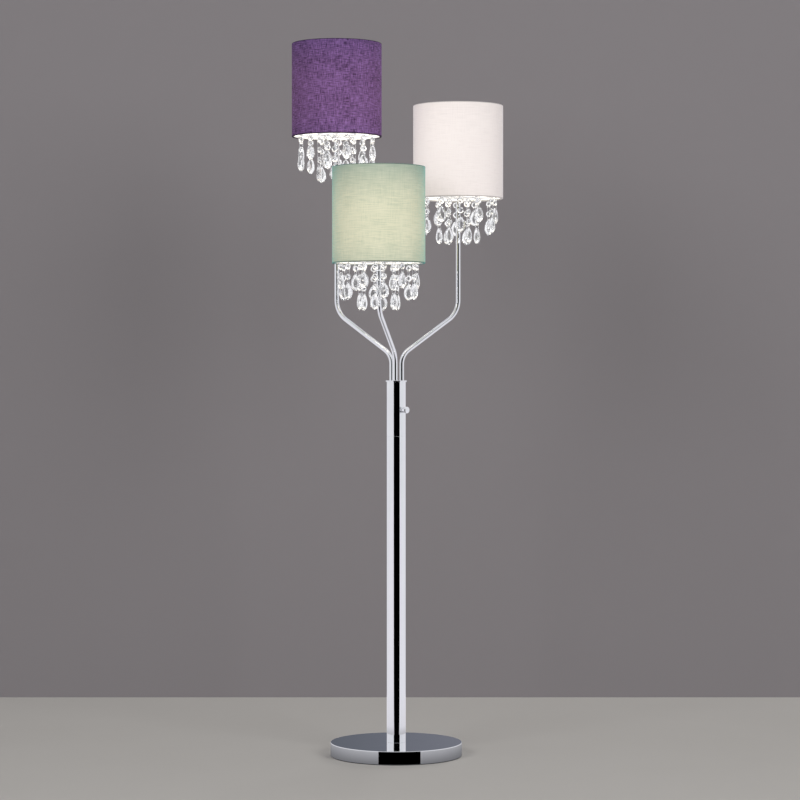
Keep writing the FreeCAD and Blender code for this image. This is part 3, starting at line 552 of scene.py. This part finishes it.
def woven_finish(name, deep, bright, contrast, slub, across, mottle, hem, glow, lit, fade,
                 sheen=0.0, sheen_tint=(1, 1, 1, 1)):
    """Cloth of crossing threads on its strip's UV map. Slubs are clouds drawn out along the weft
    and the warp, and share picks between the deep and the bright threads. The bulb's light is
    painted on as emission in the glow's colour, strongest at the bulb's level and weakest at
    the top. Painted shade at the turned hem keeps only a share of both the colour and the glow."""
    cloth = Finish(name, Sheen_Weight=sheen, Sheen_Tint=sheen_tint, Sheen_Roughness=0.5,
                   Specular_IOR_Level=0.2, Emission_Strength=lit)
    strip = cloth.add("ShaderNodeUVMap", {"uv_map": "strip"})
    weft, warp = [
        cloth.cloud(cloth.add("ShaderNodeMapping", {}, {"Vector": strip, "Scale": (*drawn, 1)}),
                    1.0, 3.0, 0.6) for drawn in (slub, slub[::-1])]
    run = cloth.add("ShaderNodeSeparateXYZ", {}, {0: strip}, out="X")
    rise = cloth.add("ShaderNodeSeparateXYZ", {}, {0: strip}, out="Y")
    height = map_scale * shade_height
    pitch = 2 * math.pi / (map_scale * thread_pitch)
    ribs = run.maths("SINE", run * pitch) * run.maths("SINE", rise * pitch)
    slubs = weft * across + warp * (1 - across)
    patches = cloth.cloud(strip, patch_scale, 2.0) * mottle - mottle / 2
    share = (slubs + patches + ribs * 0.03).between(0.5 - 0.5 / contrast, 0.5 + 0.5 / contrast)
    edge = rise.maths("MINIMUM", rise, height - rise)
    # painted shade along both rims: colour and glow drop to the hem's share at the turned hem
    painted_hem_shade = hem + (1 - hem) * edge.between(*hem_shade_band)
    shown = cloth.blend(share, deep, bright)
    cloth.set(Base_Color=cloth.add("ShaderNodeVectorMath", {"operation": "SCALE"},
                                   {0: shown, "Scale": painted_hem_shade}), Roughness=0.82 + 0.12 * weft)
    middle, reach = height * glow_level, height * (1 - glow_level)
    away = ((rise - middle) * (1 / reach)) ** 2.0
    # painted glow of the bulb through the cloth, as emission
    light = (1 - away * fade) * painted_hem_shade * (0.8 + 0.4 * share)
    cloth.set(Emission_Color=cloth.blend(light, (0, 0, 0, 1), glow))
    cloth.bump(slubs + ribs * 0.2, 0.0005, 0.7)
    return cloth


thread_pitch = 0.0009
patch_scale = 2.2
# the painted shade of the turned hem fades out between these two distances from the cloth's edge, in
# decimetres
hem_shade_band = (0.008, 0.018)
# the bulb's level, as a share of the drum's height
glow_level = 0.40
cloths = {
    "left": ("purple_fabric", woven_finish(
        "purple_linen", deep=(0.034, 0.016, 0.056, 1), bright=(0.264, 0.143, 0.376, 1),
        contrast=5.0, slub=(6, 66), across=0.50, mottle=0.10, hem=0.28,
        glow=(1.0, 0.40, 0.56, 1), lit=0.036, fade=1.0)),
    "front": ("green_fabric", woven_finish(
        "green_cloth", deep=(0.33, 0.435, 0.345, 1), bright=(0.475, 0.545, 0.455, 1),
        contrast=2.6, slub=(3, 40), across=0.64, mottle=0.20, hem=0.30,
        glow=(1.0, 0.77, 0.47, 1), lit=0.40, fade=0.85, sheen=0.8,
        sheen_tint=(0.15, 1.0, 1.0, 1))),
    "right": ("white_fabric", woven_finish(
        "white_cloth", deep=(0.42, 0.387, 0.373, 1), bright=(0.465, 0.438, 0.425, 1),
        contrast=1.3, slub=(3, 45), across=0.6, mottle=0.04, hem=0.60,
        glow=(1.0, 0.905, 0.868, 1), lit=0.555, fade=0.08, sheen=0.8,
        sheen_tint=(0.96, 0.93, 1.0, 1))),
}
for head in HEADS:
    cloth, flat = drum_cloth(head)
    slot, finish = cloths[head]
    wear(cloth, finish, "lamp")
    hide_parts(head + "_shade_fabric")

# ------------------------------------------------------------------------------- shade lining
# A sheet of matt white styrene is bonded inside the cloth and stiffens the drum. It is cut short
# of the rings; the lit bulb's glow on it is painted on as emission, nearly white all over.

lining_thickness = 0.0006
lining_gap = 0.0009
lining_short = 0.0032
# painted glow: the lining's emission stands in for the bulb's light on it
styrene = Finish("white_styrene", Roughness=0.55, Emission_Strength=0.72)
spot = styrene.place()
haze = styrene.cloud(spot, 14.0, 2.0)
styrene.set(Base_Color=styrene.blend(haze, (0.84, 0.83, 0.80, 1), (0.88, 0.87, 0.85, 1)),
            Emission_Color=styrene.blend(haze, (1.0, 0.955, 0.89, 1), (1.0, 0.975, 0.925, 1)))
for head in HEADS:
    low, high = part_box(head + "_shade_fabric")
    outer = shade_radius - lining_gap
    inner = outer - lining_thickness
    bottom, top = low.z + lining_short, high.z - lining_short
    lining = lathe(head + "_lining", [(outer, bottom), (outer, top), (inner, top), (inner, bottom)],
                   sides=160, centre=(*centres[head], 0))
    wear(lining, styrene, "lamp")
    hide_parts(head + "_shade_liner")

# ------------------------------------------------------------------------------- shade frame
# Two steel wire rings hold the drum. Three spokes climb from the lower ring to a pierced plate
# that rests on the lampholder, all spot-welded and dipped in white paint.

white_paint = grained(
    "white_wire_paint", grain=(120.0, 2.0), colours=[(0.76, 0.76, 0.74), (0.84, 0.84, 0.82)],
    gloss=(0.3, 0.15), Coat_Weight=0.3)
for head in HEADS:
    keep_node(head + "_shade_frame", white_paint)

# ------------------------------------------------------------------------------- lampholders
# A chromed cup on the end of each arm carries a lampholder moulded in white plastic. A threaded
# ring of the same plastic clamps the frame's plate down on its flange.

moulded = grained(
    "white_moulding", grain=(500.0, 2.0), colours=[(0.80, 0.80, 0.77), (0.85, 0.85, 0.82)],
    gloss=(0.32, 0.12))
for name in ("lampholders", "shade_clamp_rings"):
    keep_node(name, moulded)
keep_node("socket_cups", chrome)

# ------------------------------------------------------------------------------- bulbs
# A small round bulb stands in each lampholder: an opal glass globe with a drawn neck on a rolled
# screw cap of nickel-plated brass.

opal = Finish("opal_glass", Roughness=0.25, Emission_Strength=2.2)
haze = opal.cloud(opal.place(), 60.0)
opal.set(Base_Color=opal.blend(haze, (0.93, 0.91, 0.87, 1), (0.97, 0.95, 0.91, 1)),
         Emission_Color=opal.blend(haze, (1.0, 0.85, 0.62, 1), (1.0, 0.90, 0.70, 1)))
nickel = grained(
    "screw_cap", grain=(400.0, 2.0), colours=[(0.62, 0.60, 0.55), (0.74, 0.72, 0.66)],
    gloss=(0.2, 0.2), Metallic=1.0)
globe_radius = 0.0225
globe_height = 0.054
cap_height = 0.028
thread_radius = 0.0077
thread_depth = 0.0004
thread_start = 0.003
thread_count = 6
contact = [(0.0045, 0), (0.0055, 0.002)]
bulb_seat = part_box("bulbs")[0].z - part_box("front_shade_fabric")[0].z
# the neck starts inside the screw cap and meets the globe well under its middle
glass_foot = cap_height - 0.001
glass_foot_radius = 0.0072
neck_swell = 1.6
meeting = math.radians(-58)
meeting_radius = globe_radius * math.cos(meeting)
meeting_height = globe_height + globe_radius * math.sin(meeting)
drawn = np.linspace(0, 1, 9)[:-1]
neck = np.stack([glass_foot_radius + (meeting_radius - glass_foot_radius) * drawn ** neck_swell,
                 glass_foot + (meeting_height - glass_foot) * drawn], -1)
climb = np.linspace(meeting, math.pi / 2, 20)
ball = np.stack([globe_radius * np.cos(climb), globe_height + globe_radius * np.sin(climb)], -1)
globe = np.vstack([[(0, glass_foot)], neck, ball])
rise = np.linspace(thread_start, cap_height, thread_count * 8 + 1)
wave = np.cos(rise / cap_height * thread_count * 2 * math.pi)
screw = np.stack([thread_radius - thread_depth + thread_depth * wave, rise], -1)
screw = np.vstack([[(0, 0)], contact, screw, [(0, cap_height)]])


def three_of(name, profile, height, sides=48):
    """The same turned shape in every head, as one mesh."""
    shell = bmesh.new()
    for head in HEADS:
        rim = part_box(head + "_shade_fabric")[0].z
        one = lathe(name, profile, sides, (*centres[head], rim + height))
        shell.from_mesh(one.data)
        bpy.data.objects.remove(one)
    mesh = bpy.data.meshes.new(name)
    shell.to_mesh(mesh)
    shell.free()
    return add_piece(name, mesh)


globes = wear(three_of("bulb_globes", globe, bulb_seat), opal, "lamp")
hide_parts("bulbs")
wear(three_of("bulb_screw_caps", screw, bulb_seat), nickel, "lamp")

# ------------------------------------------------------------------------------- carriers
# Under each shade a hub on the arm holds three spokes and two rings of chromed wire. The crystal
# strands hook over the rings, twelve round the outer one and six round the inner one.

keep_node("crystal_carriers", grained(
    "satin_chrome", grain=(300.0, 2.0), colours=[(0.92, 0.92, 0.93), (0.96, 0.96, 0.965)],
    gloss=(0.42, 0.1), Metallic=1.0))

# ------------------------------------------------------------------------------- crystals
# The strands are cut glass: one, two or three octagonal beads and a pear-shaped drop, joined by
# closed links of thin chromed wire through holes in the stones. Each stone hangs a little twisted.

carrier_height = 0.006
carrier_wire = 0.003
outer_circle = 0.164
inner_circle = 0.084
# where the first strand of the outer and of the inner circle hangs
circle_turns = {"front": (8, -10), "right": (2, 31), "left": (-13, -5)}
link_wire = 0.0009
link_width = 0.0072
link_corner = 0.0012
link_sides = 5
link_arc_steps = 3
bead_width = 0.014
bead_thickness = 0.008
bead_table = 0.65
hole_inset = 0.0018
bead_hole = bead_width / 2 - hole_inset
bead_below_rim = 0.009
first_bead = carrier_height + bead_below_rim
bead_pitch = 0.022
drop_below_bead = 0.011
drop_height = 0.037
drop_width = 0.023
drop_thickness = 0.0125
drop_hole = 0.0028
drop_middle = 0.6
# a share of the drop's thickness, and how far its outline is drawn in there
drop_tiers = [(0.36, 0.78), (0.5, 0.6)]
girdle = 0.0018
twist = 14
hook_clearance = 0.00035


def stone(outline, centre, tiers):
    """Points and faces of a cut stone that faces +X. Tiers of (depth, share) climb from the girdle
    to the table: each tier is the outline drawn in towards the centre, and its corners lie between
    those of the tier below, so that triangles join the two."""
    count = len(outline)
    front, ring = [(girdle / 2, outline)], outline
    for depth, share in tiers:
        ring = (ring + np.roll(ring, -1, axis=0)) / 2
        fitted = centre + (ring - centre) * share
        front.append((depth, fitted))
        ring = fitted
    layers = [(-depth, ring) for depth, ring in front[::-1]] + front
    points = np.vstack([np.column_stack([np.full(count, x), ring]) for x, ring in layers])
    here = np.arange(count)
    after = (here + 1) % count
    faces = [here[::-1].tolist(), ((len(layers) - 1) * count + here).tolist()]
    for level in range(len(layers) - 1):
        low, high = level * count, (level + 1) * count
        if level == len(tiers):
            faces += np.column_stack([low + here, low + after, high + after, high + here]).tolist()
            continue
        if level < len(tiers):
            wide, narrow = high, low
        else:
            wide, narrow = low, high
        faces += np.column_stack([wide + here, wide + after, narrow + here]).tolist()
        faces += np.column_stack([wide + after, narrow + after, narrow + here]).tolist()
    return points, faces


def bead_stone():
    """A regular octagon, flat at the top and at the foot."""
    corner = math.radians(22.5) + np.arange(8) * math.pi / 4
    reach = bead_width / 2 / math.cos(math.pi / 8)
    return stone(reach * np.stack([np.cos(corner), np.sin(corner)], -1), np.zeros(2),
                 [(bead_thickness / 2, bead_table)])


def drop_stone():
    """A pear with its tip at the origin. Its half width swells from the tip to the belly and closes
    in a round foot; each row is a share of the height and of the half width."""
    rows = np.array([(0, 0.16), (0.17, 0.56), (0.40, 0.90), (0.64, 1), (0.84, 0.76), (1, 0.28)])
    right = np.column_stack([rows[:, 1] * drop_width / 2, -rows[:, 0] * drop_height])
    left = right[::-1] * (-1, 1)
    return stone(np.vstack([right, left]), np.array([0, -drop_middle * drop_height]),
                 [(drop_thickness * depth, share) for depth, share in drop_tiers])


def link(top, bottom):
    """A closed link of round wire between two heights: a rectangle with round corners, in XZ."""
    corner = np.radians(np.linspace(0, 90, link_arc_steps))
    path, heading = [], []
    reach, roof, ground = link_width / 2 - link_corner, top - link_corner, bottom + link_corner
    for quarter, centre in enumerate(((reach, roof), (-reach, roof), (-reach, ground),
                                      (reach, ground))):
        angle = corner + quarter * math.pi / 2
        heading.append(np.stack([np.cos(angle), np.sin(angle)], -1))
        path.append(np.array(centre) + link_corner * heading[-1])
    path, heading = np.vstack(path), np.vstack(heading)
    around = np.linspace(0, 2 * math.pi, link_sides, endpoint=False)
    out = link_wire / 2 * np.cos(around)
    points = np.stack([path[:, :1] + heading[:, :1] * out,
                       link_wire / 2 * np.sin(around) + 0 * path[:, :1],
                       path[:, 1:] + heading[:, 1:] * out], axis=-1)
    rows = len(path)
    number = np.arange(rows * link_sides).reshape(rows, link_sides)
    following, beside = np.roll(number, -1, 0), np.roll(number, -1, 1)
    both = np.roll(following, -1, 1)
    faces = np.stack([number, following, both, beside], -1).reshape(-1, 4)
    return points.reshape(-1, 3), faces.tolist()


def strand_parts(levels, twists):
    """Stones and links of one strand about its own hook. Every piece is turned on from the one
    above it, by its own twist."""
    turns = iter(np.cumsum(twists))
    stones, links = [], []
    top = carrier_wire / 2 + hook_clearance + link_wire / 2
    first = -first_bead
    links.append(link(top, first + bead_hole))
    for level in range(levels):
        centre = first - level * bead_pitch
        points, faces = bead_stone()
        stones.append((spun(points, next(turns)) + (0, 0, centre), faces))
        below = centre - bead_pitch + bead_hole
        if level == levels - 1:
            below = centre - drop_below_bead - drop_hole
        points, faces = link(centre - bead_hole, below)
        links.append((spun(points, next(turns)), faces))
    tip = first - (levels - 1) * bead_pitch - drop_below_bead
    points, faces = drop_stone()
    stones.append((spun(points, next(turns)) + (0, 0, tip), faces))
    return stones, links


def spun(points, turn):
    """Points turned about the vertical."""
    c, s = math.cos(turn), math.sin(turn)
    return points @ np.array([(c, s, 0), (-s, c, 0), (0, 0, 1)])


def gather(name, shapes, spots):
    """One mesh of many shapes; each spot is a turn about the vertical and a place."""
    points, faces, count = [], [], 0
    for (shape, polygons), (turn, place) in zip(shapes, spots):
        points.append(spun(shape, turn) + place)
        faces += [[corner + count for corner in polygon] for polygon in polygons]
        count += len(shape)
    mesh = bpy.data.meshes.new(name)
    mesh.from_pydata(np.vstack(points).tolist(), [], faces)
    shell = bmesh.new()
    shell.from_mesh(mesh)
    bmesh.ops.recalc_face_normals(shell, faces=shell.faces)
    shell.to_mesh(mesh)
    shell.free()
    return add_piece(name, mesh)


crystal = grained(
    "cut_crystal", grain=(260.0, 1.0), colours=[(0.97, 0.98, 1.0), (1.0, 0.99, 0.97)],
    gloss=(0.008, 0.015), Transmission_Weight=1.0, IOR=1.55)
draw = np.random.default_rng(7)
for head in HEADS:
    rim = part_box(head + "_shade_fabric")[0].z
    x, y = centres[head]
    for circle, pairs, levels, diameter, start in (
            ("outer", 6, (2, 1), outer_circle, circle_turns[head][0]),
            ("inner", 3, (3, 3), inner_circle, circle_turns[head][1])):
        step = 360 / pairs
        for index in range(pairs):
            node = f"{head}_{circle}_strands_{index + 1}"
            stones, links, stone_spots, link_spots = [], [], [], []
            for side, count in enumerate(levels):
                turn = start + (index + side / 2) * step
                place = (*(along(turn, diameter / 2) + (x, y)), rim + carrier_height)
                swing = math.radians(turn - 90)
                twists = np.radians(draw.uniform(-twist, twist, 2 * count + 1))
                some, wires = strand_parts(count, twists)
                stones += some
                links += wires
                stone_spots += [(swing, place)] * len(some)
                link_spots += [(swing, place)] * len(wires)
            cut = gather(node + "_stones", stones, stone_spots)
            wear(cut, crystal, node)
            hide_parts(node)
            wires = gather(node + "_links", links, link_spots)
            wires.data.shade_smooth()
            wear(wires, chrome, node)

# ------------------------------------------------------------------------------- studio
# A pale floor, a plain grey backdrop that shows only from its front and casts no shadow, and soft
# light from large panels in front and behind. A dark cloth in front paints a dark reflection into
# the polished metal and the glass alone; floor and backdrop show them painted reflections too.

floor_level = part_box("base_pad")[0].z
studio_reach = 9
backdrop_place = 0.98
backdrop_top = 7


def panel(name, corners, finish):
    mesh = bpy.data.meshes.new(name)
    mesh.from_pydata(corners, [], [(0, 1, 2, 3)])
    sheet = add_piece(name, mesh)
    mesh.materials.append(finish.material)
    return sheet


def mirrored(finish, ray, colour):
    """A painted reflection: what a kind of ray that left polished metal or cut glass sees, in place
    of the surface.
    """
    hit = finish.add("ShaderNodeLightPath", out=ray)
    finish.over(hit, finish.add("ShaderNodeEmission", {}, {"Color": colour}))


def along_ramp(finish, value, start, end, stops):
    """A colour that follows the stops while the value goes from its start to its end."""
    return finish.add("ShaderNodeValToRGB", {"stops": stops}, {"Fac": value.between(start, end)})


pale_floor = Finish("pale_floor", Roughness=0.9, Specular_IOR_Level=0.0)
marks = pale_floor.cloud(pale_floor.place(), 3.0, 3.0)
pale_floor.set(Base_Color=pale_floor.blend(marks, (0.535, 0.513, 0.482, 1),
                                           (0.56, 0.538, 0.507, 1)))
away = pale_floor.add("ShaderNodeVectorMath", {"operation": "LENGTH"},
                      {0: pale_floor.place()}, out="Value")
# painted reflection: polished metal and glass see the floor dark near the base, pale further out
mirrored(pale_floor, "Is Glossy Ray", along_ramp(pale_floor, away, 0.14, 1.14, [
    (0.0, (0.17, 0.17, 0.18, 1)), (0.16, (0.42, 0.42, 0.44, 1)), (0.34, (0.80, 0.79, 0.83, 1)),
    (1.0, (0.86, 0.85, 0.90, 1))]))
panel("studio_floor", [(-studio_reach, -studio_reach, floor_level),
                       (studio_reach, -studio_reach, floor_level),
                       (studio_reach, studio_reach, floor_level),
                       (-studio_reach, studio_reach, floor_level)], pale_floor)

grey_wall = Finish("grey_backdrop", Base_Color=(0.265, 0.245, 0.253, 1), Roughness=0.9)
side = grey_wall.add("ShaderNodeSeparateXYZ", {}, {0: grey_wall.place()}, out="X")
# painted reflection: polished metal sees a dark band in the middle of the backdrop, pale at its sides
mirrored(grey_wall, "Is Glossy Ray", along_ramp(grey_wall, side, -0.8, 0.8, [
    (0.2, (0.84, 0.84, 0.88, 1)), (0.36, (0.115, 0.125, 0.15, 1)),
    (0.64, (0.19, 0.197, 0.235, 1)), (0.8, (0.84, 0.84, 0.88, 1))]))
about = grey_wall.add("ShaderNodeVectorMath", {"operation": "DISTANCE"},
                      {0: grey_wall.place(), 1: (0, backdrop_place, 1.2)}, out="Value")
# painted reflection: cut glass sees a dark patch on the backdrop behind the lamp, pale further out
mirrored(grey_wall, "Is Transmission Ray", along_ramp(grey_wall, about, 0.0, 1.0, [
    (0.28, (0.21, 0.205, 0.215, 1)), (0.5, (0.98, 0.98, 1.0, 1))]))
grey_wall.over(grey_wall.add("ShaderNodeNewGeometry", out="Backfacing"),
               grey_wall.add("ShaderNodeBsdfTransparent"))
backdrop = panel("studio_backdrop", [
    (-studio_reach, backdrop_place, floor_level), (studio_reach, backdrop_place, floor_level),
    (studio_reach, backdrop_place, backdrop_top), (-studio_reach, backdrop_place, backdrop_top)],
    grey_wall)
backdrop.visible_shadow = False

# the dark cloth starts on the floor at the base's edge and is hung up at its far end
black_cloth = Finish("black_cloth", Base_Color=(0, 0, 0, 1), Roughness=1.0, Specular_IOR_Level=0.0)
dark_turns = np.linspace(-31, 43, 9)
dark_reach = 7.0
dark_top = 3.4
dark_lift = 0.0004
dark_gap = 0.002
near_line = np.array([along(turn / 2, base_radius + dark_gap) for turn in dark_turns])
ends = near_line[[0, -1]] + [along(turn, dark_reach) for turn in dark_turns[[0, -1]]]
far_line = ends[0] + (ends[1] - ends[0]) * np.linspace(0, 1, len(dark_turns))[:, None]
on_floor = np.full(len(dark_turns), floor_level + dark_lift)
black = skin("dark_cloth", np.stack([
    np.column_stack([near_line, on_floor]), np.column_stack([far_line, on_floor]),
    np.column_stack([far_line, on_floor + dark_top])]), False, False, turn_out=False)
black.data.materials.append(black_cloth.material)
# seen only in reflections and through glass: a painted dark reflection
black.visible_camera = black.visible_diffuse = black.visible_shadow = False

# the air gives an even light, and is paler where the camera, metal or glass sees it
world = bpy.data.worlds.new("studio_air")
bpy.context.scene.world = world
world.use_nodes = True
air = world.node_tree
lit_air = air.nodes["Background"]
seen_air = air.nodes.new("ShaderNodeBackground")
for layer, colour, strength in ((lit_air, (0.80, 0.82, 0.86, 1), 0.41),
                                (seen_air, (0.86, 0.87, 0.90, 1), 0.95)):
    layer.inputs["Color"].default_value = colour
    layer.inputs["Strength"].default_value = strength
path = air.nodes.new("ShaderNodeLightPath")
seen = path.outputs["Is Camera Ray"]
for ray in ("Is Glossy Ray", "Is Transmission Ray"):
    either = air.nodes.new("ShaderNodeMath")
    either.operation = "MAXIMUM"
    air.links.new(seen, either.inputs[0])
    air.links.new(path.outputs[ray], either.inputs[1])
    seen = either.outputs[0]
both = air.nodes.new("ShaderNodeMixShader")
for socket, output in enumerate((seen, lit_air.outputs[0], seen_air.outputs[0])):
    air.links.new(output, both.inputs[socket])
air.links.new(both.outputs[0], air.nodes["World Output"].inputs[0])


def soft_light(name, place, power):
    """A large square panel that faces the middle of the lamp. Polished metal doesn't show it."""
    lamp = bpy.data.lights.new(name, "AREA")
    lamp.shape, lamp.size, lamp.energy = "SQUARE", panel_size, power
    light = bpy.data.objects.new(name, lamp)
    bpy.context.scene.collection.objects.link(light)
    light.location = place
    light.rotation_euler = (Vector(lamp_middle) - Vector(place)).to_track_quat("-Z", "Y").to_euler()
    light.visible_glossy = False


panel_size = 2.2
lamp_middle = (0, 0, 0.9)
soft_light("right_panel", (2.8, -3.9, 2.6), 94)
soft_light("left_panel", (-2.7, -4.1, 2.8), 86)
soft_light("rear_panel", (1.6, 3.9, 2.7), 50)
bulb_power = 0.3
bulb_colour = (1.0, 0.88, 0.72)
light_proud = 0.001
for head in HEADS:
    bulb = bpy.data.lights.new(head + "_bulb_light", "POINT")
    bulb.energy, bulb.color = bulb_power, bulb_colour
    bulb.shadow_soft_size = globe_radius + light_proud
    glow = bpy.data.objects.new(head + "_bulb_light", bulb)
    bpy.context.scene.collection.objects.link(glow)
    glow.location = (*centres[head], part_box(head + "_shade_fabric")[0].z + bulb_seat + globe_height)

camera_data = bpy.data.cameras.new("camera")
camera_data.lens = 112.1
camera_data.sensor_width = 36
camera_place = (0.0083, -5.493, 0.8465)
camera_tilt = -0.644
camera = bpy.data.objects.new("camera", camera_data)
bpy.context.scene.collection.objects.link(camera)
camera.location = camera_place
camera.rotation_euler = (math.radians(90 + camera_tilt), 0, 0)
bpy.context.scene.camera = camera
bpy.context.scene.view_settings.view_transform = "Standard"

bpy.context.view_layer.update()
